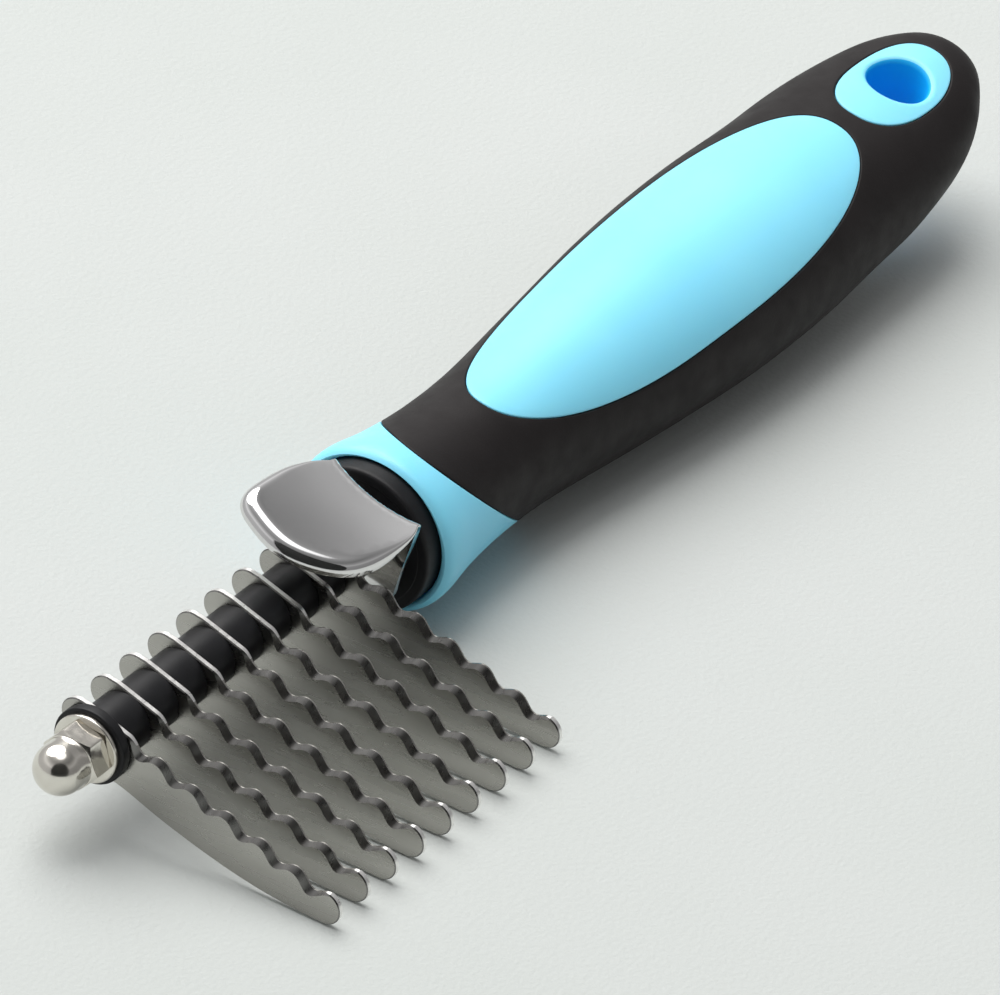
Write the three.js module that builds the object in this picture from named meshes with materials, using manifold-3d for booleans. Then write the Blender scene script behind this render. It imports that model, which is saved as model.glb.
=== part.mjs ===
// Deshedding comb: a row of scalloped blades stacked on a rod that runs into
// a two-colour moulded handle, with a bent sheet thumb rest behind the blades.
//
// Tool frame: X runs along the rod from the cap nut to the handle's tail, with
// x = 0 on the washer's outer face. Z points to the thumb side. The blades
// point along -Y. The finished group is rolled about X so that the tool lies
// as it does on a table: on the blade tips and on the handle's widest part.

import * as THREE from 'three';
import { mergeVertices } from 'three/addons/utils/BufferGeometryUtils.js';
import Module from 'manifold-3d';

const wasm = await Module();
wasm.setup();

// ---------------------------------------------------------------- dimensions
// Everything is in millimetres and degrees.
const GAP = 0.02;               // between faces that press on each other
const SEAM = 0.15;              // half of the seam between mouldings

const ROD_R = 2.0;              // M4 rod
const ROD_FLAT = 1.6;           // half distance across the rod's two flats
const BORE_R = 2.1;             // holes that run on the rod
const BORE_FLAT = 1.7;
const ROD_START = -5.0;         // rod end, inside the cap nut
const ROD_END = 108.0;          // rod end, inside the handle

const NUT_AF = 7.0;             // across flats
const NUT_HEX = 3.2;            // height of the hexagon
const DOME_R = 3.3;
const DOME_X = -4.9;            // dome centre
const NUT_BORE_DEPTH = 5.7;

const WASHER_R = 4.5;
const WASHER_T = 0.8;
const NOSE_R = 5.05;
const NOSE_T = 1.5;

const BLADES = 9;
const BLADE_T = 0.8;
const PITCH = 5.87;             // blade to blade
const SPACER_R = 3.85;

const EDGE_HEIGHT = 3.92;       // straight upper edge, above the rod axis
const EDGE_SLOPE = 0.112;       // it falls this much per mm towards the tip
const WAVE_START = -3.7;        // first scallop begins
const WAVE_PITCH = 5.2;
const WAVES = 6;
const WAVE_DEPTH = 1.25;
const TIP = new THREE.Vector2(-34.45, -2.12);
const TIP_R = 2.25;
const LOBE = new THREE.Vector2(3.3, 1.85);
const LOBE_R = 2.3;

const LEG_X = 53.8;             // thumb rest's upright plate
const SHEET_T = 1.2;
const LEG_R = 8.2;              // round foot of the plate, about the rod
const LEG_TOP_HALF = 7.1;
const PAD_HEIGHT = 11.5;        // top of the pad at its rear bend
const PAD_DISH = 0.55;          // hollow across the pad
const PAD_CROWN = 0.25;         // swell along it
const PAD_LENGTH = 18.3;
const LIP_R = 2.0;              // front edge curls down
const THUMB_TURN = 7.4;         // thumb rest's set, about the rod

const BOSS_FACE = 57.8;
const BOSS_R = 9.9;
const BOSS_BACK = 62.3;
const SPIGOT_R = 4.6;
const COLLAR_FACE = 60.3;

const GRIP_WALL = 2.2;
const GRIP_TOP_X = 65.8;        // front edge of the rubber, on the thumb side
const GRIP_SLANT = 12.0;        // it lies this far back at axis height
const GRIP_TURN = 6.0;          // the slant is turned this far about the rod
const NECK_R = 9.9;
const PANEL = { x: 121.6, long: 40.7, half: 11.4, egg: 0.15 };
const EYELET = { x: 176.1, long: 10.15, half: 6.0, egg: 0 };
const HOLE = { x: 177.3, long: 4.5, half: 3.9, egg: 0 };
const ANCHOR = { x: 102.5, t: 3.2, af: 7.0 };
const BLADE_TIP_ROLL = 11.05;   // roll that sets the tool down on its side

// Handle stations: x, half width, half thickness, rise of the centre line.
const HANDLE = [
  [60.3, 10.9, 10.3, 0.0],
  [60.9, 11.4, 10.8, 0.0],
  [62.0, 11.6, 11.0, 0.0],
  [66.0, 11.1, 10.5, 0.0],
  [72.0, 10.35, 9.8, 0.0],
  [80.0, 9.95, 9.5, 0.0],
  [89.0, 10.2, 9.7, 0.0],
  [99.0, 11.2, 10.3, 0.1],
  [110.0, 12.4, 10.9, 0.3],
  [120.0, 13.45, 11.2, 0.6],
  [129.0, 14.15, 11.25, 0.8],
  [139.0, 14.45, 11.15, 1.15],
  [148.5, 14.3, 10.7, 1.55],
  [158.0, 13.8, 10.0, 2.1],
  [165.5, 13.6, 9.2, 2.8],
  [172.5, 12.9, 8.2, 3.8],
  [179.0, 11.7, 7.1, 4.9],
  [184.5, 9.6, 5.7, 6.6],
  [188.2, 7.2, 4.3, 7.8],
  [190.9, 4.8, 2.9, 8.3],
  [192.2, 2.2, 1.35, 8.3],
  [192.45, 0.0, 0.0, 8.3],
];

// ----------------------------------------------------------------- materials
const material = (color, roughness, metalness) =>
  new THREE.MeshStandardMaterial({ color, roughness, metalness });
const BLUE = material(0x7fd8f6, 0.45, 0);
const RUBBER = material(0x1d1e20, 0.75, 0);
const BLACK = material(0x121214, 0.35, 0);
const STEEL = material(0x8d8a84, 0.35, 1);
const CHROME = material(0xc9cbce, 0.08, 1);
const NICKEL = material(0xb9b5ab, 0.15, 1);
const BRASS = material(0xb08d4a, 0.35, 1);

// ------------------------------------------------------------- solid helpers
// Shared vertices are merged and the slivers that merging leaves are dropped.
function welded(geometry) {
  const bare = geometry.clone();
  for (const name of Object.keys(bare.attributes)) {
    if (name !== 'position') bare.deleteAttribute(name);
  }
  const merged = mergeVertices(bare, 1e-4);
  const old = merged.index.array;
  const kept = [];
  for (let i = 0; i < old.length; i += 3) {
    const [a, b, c] = [old[i], old[i + 1], old[i + 2]];
    if (a !== b && b !== c && c !== a) kept.push(a, b, c);
  }
  merged.setIndex(kept);
  return merged;
}

function solid(geometry) {
  const mesh = welded(geometry);
  return new wasm.Manifold(new wasm.Mesh({
    numProp: 3,
    vertProperties: Float32Array.from(mesh.attributes.position.array),
    triVerts: Uint32Array.from(mesh.index.array),
  }));
}

function geometryOf(manifold) {
  const mesh = manifold.getMesh();
  const geometry = new THREE.BufferGeometry();
  const position = new THREE.BufferAttribute(mesh.vertProperties, 3);
  geometry.setAttribute('position', position);
  geometry.setIndex(new THREE.BufferAttribute(mesh.triVerts, 1));
  geometry.computeVertexNormals();
  return geometry;
}

// A (y, z) outline pushed along X from x0 to x1.
function alongX(shape, x0, x1, curveSegments = 16) {
  const options = { depth: x1 - x0, bevelEnabled: false, curveSegments };
  const geometry = new THREE.ExtrudeGeometry(shape, options);
  const basis = new THREE.Matrix4().makeBasis(
    new THREE.Vector3(0, 1, 0),
    new THREE.Vector3(0, 0, 1),
    new THREE.Vector3(1, 0, 0),
  );
  return geometry.applyMatrix4(basis).translate(x0, 0, 0);
}

// An (x, y) outline pushed along Z from z0 to z1.
function alongZ(shape, z0, z1, curveSegments = 24) {
  const options = { depth: z1 - z0, bevelEnabled: false, curveSegments };
  return new THREE.ExtrudeGeometry(shape, options).translate(0, 0, z0);
}

// A profile of [x, radius] pairs turned about the X axis.
function turned(profile, segments = 28) {
  const points = profile.map(([x, r]) => new THREE.Vector2(r, x));
  return new THREE.LatheGeometry(points, segments).rotateZ(-Math.PI / 2);
}

function ellipse(x, y, rx, ry) {
  return new THREE.Shape().absellipse(x, y, rx, ry, 0, 2 * Math.PI);
}

function circle(r) {
  return ellipse(0, 0, r, r);
}

// A circle with two flats, on its +Z and -Z sides.
function doubleD(r, flat) {
  const a = Math.asin(flat / r);
  const outline = new THREE.Shape();
  outline.absarc(0, 0, r, -a, a, false);
  outline.absarc(0, 0, r, Math.PI - a, Math.PI + a, false);
  outline.closePath();
  return outline;
}

function ring(outer, x0, x1) {
  const shape = circle(outer);
  shape.holes.push(circle(BORE_R));
  return alongX(shape, x0, x1, 11);
}

function hexagon(acrossFlats) {
  const r = acrossFlats / Math.sqrt(3);
  const corners = [0, 1, 2, 3, 4, 5].map((i) => {
    const a = (i * Math.PI) / 3;
    return new THREE.Vector2(r * Math.cos(a), r * Math.sin(a));
  });
  return new THREE.Shape(corners);
}

// --------------------------------------------------------------- handle skin
// One interpolated row of the station list.
function station(x) {
  const last = HANDLE.length - 1;
  let i = 0;
  while (i < last - 1 && HANDLE[i + 1][0] < x) i += 1;
  const [a, b] = [HANDLE[i], HANDLE[i + 1]];
  const t = THREE.MathUtils.clamp((x - a[0]) / (b[0] - a[0]), 0, 1);
  return a.map((value, k) => value + (b[k] - value) * t);
}

// The handle's outer shape, drawn in by inset all round, from x = start back.
function handleSkin(inset, start, segments = 34) {
  const tail = HANDLE[HANDLE.length - 1][0] - inset;
  const stations = HANDLE
    .map((row) => row[0])
    .filter((x) => x > start + 0.2 && x < tail - 0.6);
  const xs = [start, ...stations, tail - 0.25];
  const profile = [[start, 0], ...xs.map((x) => [x, 1]), [tail, 0]];
  const geometry = turned(profile, segments);
  const p = geometry.attributes.position;
  for (let i = 0; i < p.count; i += 1) {
    const [, wide, thick, rise] = station(p.getX(i));
    const y = p.getY(i) * Math.max(wide - inset, 0.3);
    const z = p.getZ(i) * Math.max(thick - inset, 0.3) + rise;
    p.setXYZ(i, p.getX(i), y, z);
  }
  return solid(geometry);
}

// Everything in front of the slanted front edge of the rubber.
function aheadOfGrip(offset) {
  const edge = (z) => GRIP_TOP_X + offset + GRIP_SLANT * (1 - z / NECK_R);
  const side = new THREE.Shape([
    new THREE.Vector2(40, -30),
    new THREE.Vector2(edge(-30), -30),
    new THREE.Vector2(edge(30), 30),
    new THREE.Vector2(40, 30),
  ]);
  const geometry = new THREE.ExtrudeGeometry(side, {
    depth: 60,
    bevelEnabled: false,
  });
  geometry.rotateX(Math.PI / 2).translate(0, 30, 0);
  return solid(geometry.rotateX(THREE.MathUtils.degToRad(GRIP_TURN)));
}

// An oval that is a little fuller than an ellipse, and wider towards the tail.
function oval({ x, long, half, egg }, grow, fullness = 2.3) {
  const points = [];
  const count = 36;
  for (let i = 0; i < count; i += 1) {
    const a = (2 * Math.PI * i) / count;
    const c = Math.cos(a);
    const s = Math.sin(a);
    const along = Math.sign(c) * Math.abs(c) ** (2 / fullness);
    const across = Math.sign(s) * Math.abs(s) ** (2 / fullness);
    points.push(new THREE.Vector2(
      x + (long + grow) * along,
      (half + grow) * across * (1 + egg * along),
    ));
  }
  return new THREE.Shape(points);
}

function handleCore() {
  const skin = handleSkin(0, COLLAR_FACE);
  const inner = handleSkin(GRIP_WALL + SEAM, COLLAR_FACE);
  const panel = solid(alongZ(oval(PANEL, -SEAM), 2, 20));
  const eyelet = solid(alongZ(oval(EYELET, -SEAM), -12, 20));
  const hole = solid(alongZ(oval(HOLE, 0, 2), -20, 30));
  const recess = solid(turned([
    [50, 0], [50, BOSS_R + SEAM], [BOSS_BACK + SEAM, BOSS_R + SEAM],
    [BOSS_BACK + SEAM, 0],
  ]));
  const bore = solid(turned([
    [55, 0], [55, ROD_R + 0.3], [ROD_END + 0.5, ROD_R + 0.3],
    [ROD_END + 0.5, 0],
  ], 24));
  const pocket = solid(alongX(
    hexagon(ANCHOR.af + 0.5), ANCHOR.x - 0.2, ANCHOR.x + ANCHOR.t + 0.2,
  ));
  const collar = skin.intersect(aheadOfGrip(-SEAM));
  return geometryOf(collar
    .add(inner)
    .add(skin.intersect(panel))
    .add(skin.intersect(eyelet))
    .subtract(hole)
    .subtract(recess)
    .subtract(bore)
    .subtract(pocket));
}

function gripSleeve() {
  const skin = handleSkin(0, COLLAR_FACE);
  const inner = handleSkin(GRIP_WALL - SEAM, 50);
  const panel = solid(alongZ(oval(PANEL, SEAM), 2, 20));
  const eyelet = solid(alongZ(oval(EYELET, SEAM), -20, 30));
  return geometryOf(skin
    .subtract(aheadOfGrip(SEAM))
    .subtract(inner)
    .subtract(panel)
    .subtract(eyelet));
}

function frontBoss() {
  return turned([
    [LEG_X + SHEET_T + GAP, BORE_R],
    [LEG_X + SHEET_T + GAP, SPIGOT_R],
    [BOSS_FACE, SPIGOT_R],
    [BOSS_FACE, BOSS_R - 0.8],
    [BOSS_FACE + 0.25, BOSS_R - 0.25],
    [BOSS_FACE + 0.8, BOSS_R],
    [BOSS_BACK, BOSS_R],
    [BOSS_BACK, BORE_R],
    [LEG_X + SHEET_T + GAP, BORE_R],
  ], 36);
}

function tieRod() {
  return alongX(doubleD(ROD_R, ROD_FLAT), ROD_START, ROD_END, 6);
}

function rodAnchor() {
  const shape = hexagon(ANCHOR.af);
  shape.holes.push(circle(BORE_R));
  return alongX(shape, ANCHOR.x, ANCHOR.x + ANCHOR.t, 10);
}

// ---------------------------------------------------------------- thumb rest
// Side view of the pad's sheet, from the rear bend to the lip curled down in
// front: the outer face, then the inner face back to the bend.
function padSection() {
  const rear = LEG_X + SHEET_T;
  const crest = rear - PAD_LENGTH + LIP_R;
  const face = (inset) => {
    const points = [];
    for (let i = 0; i <= 6; i += 1) {
      const t = i / 6;
      const z = PAD_HEIGHT + PAD_CROWN * Math.sin(Math.PI * t) - inset;
      points.push(new THREE.Vector2(rear + (crest - rear) * t, z));
    }
    for (let i = 1; i <= 5; i += 1) {
      const a = ((i / 5) * Math.PI) / 2;
      points.push(new THREE.Vector2(
        crest - (LIP_R - inset) * Math.sin(a),
        PAD_HEIGHT - LIP_R + (LIP_R - inset) * Math.cos(a),
      ));
    }
    return points;
  };
  return new THREE.Shape([...face(0), ...face(SHEET_T).reverse()]);
}

function thumbPad() {
  const width = 24;
  const sheet = new THREE.ExtrudeGeometry(padSection(), {
    depth: width, steps: 12, bevelEnabled: false,
  }).rotateX(Math.PI / 2).translate(0, width / 2, 0);
  const p = sheet.attributes.position;
  for (let i = 0; i < p.count; i += 1) {
    const across = p.getY(i) / 8;
    p.setZ(i, p.getZ(i) - PAD_DISH * (1 - across * across));
  }
  return solid(sheet).intersect(solid(alongZ(padPlan(), -5, 30, 8)));
}

// Plan of the pad: straight at the rear bend and flared towards the front.
function padPlan() {
  const plan = new THREE.Shape();
  const rear = LEG_X + SHEET_T + 1;
  plan.moveTo(rear, LEG_TOP_HALF);
  plan.lineTo(LEG_X, LEG_TOP_HALF);
  plan.quadraticCurveTo(46.5, 9.7, 42.0, 10.1);
  plan.quadraticCurveTo(38.6, 10.3, 37.7, 7.3);
  plan.bezierCurveTo(36.5, 3.0, 36.6, 0.6, 38.4, -2.8);
  plan.bezierCurveTo(40.2, -6.2, 42.6, -7.9, 46.6, -8.1);
  plan.quadraticCurveTo(51.2, -8.3, LEG_X, -LEG_TOP_HALF);
  plan.lineTo(rear, -LEG_TOP_HALF);
  plan.closePath();
  return plan;
}

function legPlan() {
  const plan = new THREE.Shape();
  const top = PAD_HEIGHT - SHEET_T * 0.7;
  plan.moveTo(LEG_TOP_HALF, top);
  plan.lineTo(-LEG_TOP_HALF, top);
  plan.lineTo(-LEG_R, 0);
  plan.absarc(0, 0, LEG_R, Math.PI, 2 * Math.PI, false);
  plan.closePath();
  return plan;
}

function thumbRest() {
  const bore = solid(alongX(circle(BORE_R), 40, 70, 11));
  const leg = solid(alongX(legPlan(), LEG_X, LEG_X + SHEET_T));
  return geometryOf(thumbPad().add(leg).subtract(bore));
}

// --------------------------------------------------------------------- blade
function edgeHeight(y) {
  return EDGE_HEIGHT + EDGE_SLOPE * y;
}

function bladeOutline() {
  const points = [];
  const arc = (centre, radius, from, to, count) => {
    for (let i = 0; i <= count; i += 1) {
      const a = THREE.MathUtils.degToRad(from + ((to - from) * i) / count);
      points.push(new THREE.Vector2(
        centre.x + radius * Math.cos(a), centre.y + radius * Math.sin(a),
      ));
    }
  };
  arc(LOBE, LOBE_R, -72, 96, 9);
  const perWave = 6;
  for (let i = 0; i < WAVES * perWave; i += 1) {
    const y = WAVE_START - (i * WAVE_PITCH) / perWave;
    const wave = (1 - Math.cos((2 * Math.PI * i) / perWave)) / 2;
    points.push(new THREE.Vector2(y, edgeHeight(y) - WAVE_DEPTH * wave));
  }
  arc(TIP, TIP_R, 96, 262, 8);
  const back = new THREE.SplineCurve([
    [-34.7, -4.36], [-29, -5.2], [-22, -5.55], [-15, -5.25], [-9, -4.6],
    [-4, -3.95], [0, -3.8], [2.8, -2.5], [4.0, -0.45],
  ].map(([y, z]) => new THREE.Vector2(y, z)));
  points.push(...back.getPoints(16).slice(1, -1));
  return new THREE.Shape(points.reverse());
}

function bladeGeometry(front) {
  const shape = bladeOutline();
  shape.holes.push(doubleD(BORE_R, BORE_FLAT));
  return alongX(shape, front, front + BLADE_T, 6);
}

// ----------------------------------------------------------------- small parts
function capNut() {
  const hex = solid(alongX(hexagon(NUT_AF), -NUT_HEX, 0));
  const chamfer = solid(turned([
    [-NUT_HEX, 0], [-NUT_HEX, NUT_AF / 2 - 0.05], [-NUT_HEX + 0.45, 4.05],
    [-0.35, 4.05], [0, NUT_AF / 2], [0, 0],
  ]));
  const dome = [[DOME_X - DOME_R, 0]];
  for (let i = 1; i <= 8; i += 1) {
    const a = (i / 8) * (Math.PI / 2);
    dome.push([DOME_X - DOME_R * Math.cos(a), DOME_R * Math.sin(a)]);
  }
  dome.push([-1, DOME_R], [-1, 0]);
  const bore = solid(turned([
    [-NUT_BORE_DEPTH, 0], [-NUT_BORE_DEPTH, BORE_R], [1, BORE_R], [1, 0],
  ], 32));
  const body = hex.intersect(chamfer).add(solid(turned(dome)));
  return geometryOf(body.subtract(bore));
}

// ------------------------------------------------------------------ assembly
const tool = new THREE.Group();

function place(name, geometry, look, parent = tool) {
  const mesh = new THREE.Mesh(geometry, look);
  mesh.name = name;
  parent.add(mesh);
  return mesh;
}

place('handle_core', handleCore(), BLUE);
place('grip_sleeve', gripSleeve(), RUBBER);
place('front_boss', frontBoss(), BLACK);
place('tie_rod', tieRod(), STEEL);
place('rod_anchor_nut', rodAnchor(), BRASS);

const thumb = place('thumb_rest', thumbRest(), CHROME);
thumb.rotation.x = THREE.MathUtils.degToRad(THUMB_TURN);

const firstBlade = WASHER_T + NOSE_T;
const bladeFront = (i) => firstBlade + i * PITCH;
for (let i = 0; i < BLADES; i += 1) {
  place(`blade_${i + 1}`, bladeGeometry(bladeFront(i)), STEEL);
}
for (let i = 0; i < BLADES - 1; i += 1) {
  const from = bladeFront(i) + BLADE_T + GAP;
  const to = bladeFront(i + 1) - GAP;
  place(`spacer_${i + 1}`, ring(SPACER_R, from, to), BLACK);
}
const stackEnd = bladeFront(BLADES - 1) + BLADE_T;
place('rear_spacer', ring(SPACER_R, stackEnd + GAP, LEG_X - GAP), BLACK);
place('nose_disc', ring(NOSE_R, WASHER_T + GAP, firstBlade - GAP), BLACK);
place('washer', ring(WASHER_R, GAP, WASHER_T), STEEL);
place('cap_nut', capNut(), NICKEL);

// Roll the tool on to its side and put the origin at the foot of its box.
tool.rotation.x = THREE.MathUtils.degToRad(BLADE_TIP_ROLL);
const part = new THREE.Group();
part.add(tool);
part.updateMatrixWorld(true);
const box = new THREE.Box3().setFromObject(part, true);
const middle = box.getCenter(new THREE.Vector3());
tool.position.set(-middle.x, -middle.y, -box.min.z);
part.updateMatrixWorld(true);

export default part;
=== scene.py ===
"""Deshedding comb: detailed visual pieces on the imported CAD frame.

Pieces are built in the tool frame, in millimetres: X runs along the rod from
the cap nut to the handle's tail, Z points to the thumb side and the blades
point along -Y. TOOL carries them into the row frame, in metres.
"""

import math

import bmesh
import bpy
import numpy as np
from mathutils import Matrix, Vector, kdtree
from mathutils.geometry import delaunay_2d_cdt


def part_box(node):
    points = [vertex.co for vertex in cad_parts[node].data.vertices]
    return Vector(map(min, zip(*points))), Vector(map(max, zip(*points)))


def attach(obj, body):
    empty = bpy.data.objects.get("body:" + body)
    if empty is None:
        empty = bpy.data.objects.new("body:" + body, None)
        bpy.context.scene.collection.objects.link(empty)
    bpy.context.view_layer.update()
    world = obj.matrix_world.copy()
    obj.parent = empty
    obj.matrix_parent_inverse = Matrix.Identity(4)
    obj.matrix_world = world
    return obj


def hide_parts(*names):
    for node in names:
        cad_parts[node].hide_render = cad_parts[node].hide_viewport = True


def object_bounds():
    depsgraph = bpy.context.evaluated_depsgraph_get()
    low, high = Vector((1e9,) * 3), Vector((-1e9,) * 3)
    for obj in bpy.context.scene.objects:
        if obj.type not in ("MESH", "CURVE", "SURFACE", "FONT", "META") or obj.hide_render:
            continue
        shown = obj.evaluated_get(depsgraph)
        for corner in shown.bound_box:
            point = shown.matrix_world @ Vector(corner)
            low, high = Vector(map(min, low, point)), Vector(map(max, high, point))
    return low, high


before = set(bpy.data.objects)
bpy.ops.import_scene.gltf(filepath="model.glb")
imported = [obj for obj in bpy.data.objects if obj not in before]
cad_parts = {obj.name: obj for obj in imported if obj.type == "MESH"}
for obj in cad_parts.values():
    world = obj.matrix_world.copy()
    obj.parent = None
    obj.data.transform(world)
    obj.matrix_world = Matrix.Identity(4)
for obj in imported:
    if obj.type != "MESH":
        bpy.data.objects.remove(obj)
cad_low, cad_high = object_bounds()

MM = 0.001
TOOL_ROLL = 11.05  # the tool lies rolled this far about its rod, in degrees

# ------------------------------------------------------------- dimensions, mm
GAP = 0.02  # clearance between stacked parts
SEAM = 0.05  # half of the visible seam between the two mouldings
SEAM_ROUND = 0.2
BORE_R = 2.1
BORE_FLAT = 1.7
ROD = {"r": 2.0, "flat": 1.6, "start": -5.0, "end": 108.0, "thread_end": 9.0}
THREAD_PITCH = 0.7
THREAD_DEPTH = 0.35
THREAD_STEPS = 8  # rows along each turn of the thread
THREAD_FADE = 1.0  # length over which the thread runs out
ROD_CHAMFER = 0.3
NUT = {
    "af": 7.0, "hex": 3.2, "dome_r": 3.3, "dome_x": -4.9, "corner": 0.3,
    "bore": 2.15, "bore_end": 5.7, "rear_slope": 0.6, "front_slope": 0.75,
}
WASHER = {"r": 4.5, "t": 0.8}
NOSE = {"r": 5.05, "t": 1.5}
BLADES = 9
BLADE_T = 0.8
PITCH = 5.87
SPACER_R = 3.85
EDGE_HEIGHT = 3.92
EDGE_SLOPE = 0.112
WAVE_START = -3.7
WAVE_PITCH = 5.2
WAVES = 6
WAVE_DEPTH = 1.25
WAVE_POWER = 1.25  # above 1, the crests between the scallops are wider
WAVE_POINTS = 18  # outline points along each scallop
EDGE_SOFT = 0.14  # rounding of the blade's own edges
HOLE_CHAMFER = 0.12
GRIND = 1.0  # height of the ground face along the scallops
GRIND_ACROSS = 0.45  # the ground face leans this share of its height
GRIND_DOWN = -0.85
GRIND_DEPTH = 0.52
TIP = (-34.45, -2.12)
TIP_R = 2.25
LOBE = (3.3, 1.85)
LOBE_R = 2.3
BLADE_BACK = [
    (-34.7, -4.36), (-29, -5.2), (-22, -5.55), (-15, -5.25), (-9, -4.6),
    (-4, -3.95), (0, -3.8), (2.8, -2.5), (4.0, -0.45),
]
LEG_X = 53.8
SHEET_T = 1.2
LEG_R = 8.2
LEG_TOP_HALF = 7.1
BEND_R = 1.3
PAD_HEIGHT = 11.5
PAD_CROWN = 0.35
PAD_DISH = 0.55
PAD_LENGTH = 18.3
LIP_R = 1.9
EDGE_R = 0.28
REAR_BOW = 1.1
RAISE_START = 12.0  # distance from the foot's end where the bow starts
PAD_HALF = 8.0  # half width that the pad's dish spans
BLANK_STEP = 0.38  # point spacing round the thumb rest's blank
CURL_START = 52.5  # x where the pad's edge starts to curl down
CURL_RUN = 9.0
THUMB_TURN = 7.4
BOSS = {
    "face": 57.8, "r": 9.9, "back": 62.3, "spigot": 4.6,
    "step": 0.08, "step_in": 8.45, "step_out": 8.6,
}
COLLAR_FACE = 60.3
GRIP_WALL = 2.0
GRIP_TOP_X = 65.8
GRIP_SLANT = 12.0
GRIP_TURN = 6.0
NECK_R = 9.9
PANEL = {"x": 121.6, "long": 40.7, "half": 11.4, "full": 2.3, "egg": 0.15}
EYELET = {"x": 176.1, "long": 10.15, "half": 6.0, "full": 2.3}
HOLE = {"x": 177.4, "long": 4.3, "half": 4.05, "full": 2.0}

# Handle stations: x, half width, half thickness, rise of the centre line.
HANDLE = [
    (60.3, 10.9, 10.3, 0.0), (60.9, 11.4, 10.8, 0.0), (62.0, 11.6, 11.0, 0.0),
    (66.0, 11.1, 10.5, 0.0), (72.0, 10.35, 9.8, 0.0), (80.0, 9.95, 9.5, 0.0),
    (89.0, 10.2, 9.7, 0.0), (99.0, 11.2, 10.3, 0.1), (110.0, 12.4, 10.9, 0.3),
    (120.0, 13.45, 11.2, 0.6), (129.0, 14.15, 11.25, 0.8), (139.0, 14.45, 11.15, 1.15),
    (148.5, 14.3, 10.7, 1.55), (158.0, 13.8, 10.0, 2.1), (165.5, 13.6, 9.2, 2.8),
    (172.5, 12.9, 8.2, 3.8), (179.0, 11.7, 7.1, 4.9), (184.5, 9.6, 5.7, 6.6),
    (188.2, 7.2, 4.3, 7.8), (190.9, 4.8, 2.9, 8.3), (192.2, 2.2, 1.35, 8.3),
    (192.45, 0.0, 0.0, 8.3),
]
ANGLE_SCALE = 11.0  # turns an angle round the handle into about a millimetre
TAIL_TAPER = 14.0  # length at the tail over which depth also shortens the handle
RECESS_CLEARANCE = 0.15  # between the boss and the collar's recess
COLLAR_DISH = 0.32  # how far the collar's face is set back at the recess
COLLAR_LIP = 2.4  # length of the collar's finely spaced rounded lip
COLLAR_ROWS = 22  # rows from the lip to the seam
COLLAR_CORE = 14.0  # length of the collar's hidden core
HOLE_ROUND = 1.0  # edge radius of the hang hole
HOLE_TUBE = 1.1  # the eyelet's hidden wall stands this far outside the hole

# ------------------------------------------------------- mesh density, mm, counts
HANDLE_COLUMNS = 210
SIDE_ROWS = 120
PANEL_POINTS = 240
EYELET_WINDOW_POINTS = 110
EYELET_POINTS = 128
GRIP_PITCH = 1.15
PANEL_PITCH = 1.25
BLADE_FILL_PITCH = 2.4
THUMB_FILL_PITCH = 0.8

# --------------------------------------------------------------------- camera
CAMERA_AZIMUTH = -59.466
CAMERA_ELEVATION = 33.391
CAMERA_ROLL = -5.513
CAMERA_DISTANCE = 1.27901
CAMERA_LENS = 371.52
CAMERA_AIM = Vector((85.262, -4.140, -5.648))  # in the tool frame

# --------------------------------------------------------------------- studio, m
KEY_PLACE = (0.25, 0.75, 1.35)
KEY_SIZE = 1.7
KEY_POWER = 31.0
KEY_COLOR = (1.0, 0.99, 0.97)
FLOOR_HALF = 3.0
FLOOR_CELLS = 120
FLOOR_DROP = 0.0001
BAND_TOP = 3  # ramp colours hold each level divided by this
BANDS = [  # (height up the sky, level)
    (0.0, 0.50), (0.15, 0.45), (0.38, 0.50), (0.52, 0.78), (0.66, 0.50),
    (0.78, 0.34), (0.93, 0.50), (0.965, 2.6), (1.0, 2.8),
]
CARD_RADIUS = 0.95
CARD_REACH = (1.22, 1.34)  # its place, as a multiple of the camera's x and y
CARD_HEIGHT = 0.30


def tool_matrix():
    """Tool frame in millimetres to the row frame in metres."""
    low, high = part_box("nose_disc")
    rod = (low + high) / 2
    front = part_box("washer")[0].x - GAP * MM
    place = Matrix.Translation((front, rod.y, rod.z))
    roll = Matrix.Rotation(math.radians(TOOL_ROLL), 4, "X")
    return place @ roll @ Matrix.Scale(MM, 4)


TOOL = tool_matrix()


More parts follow.
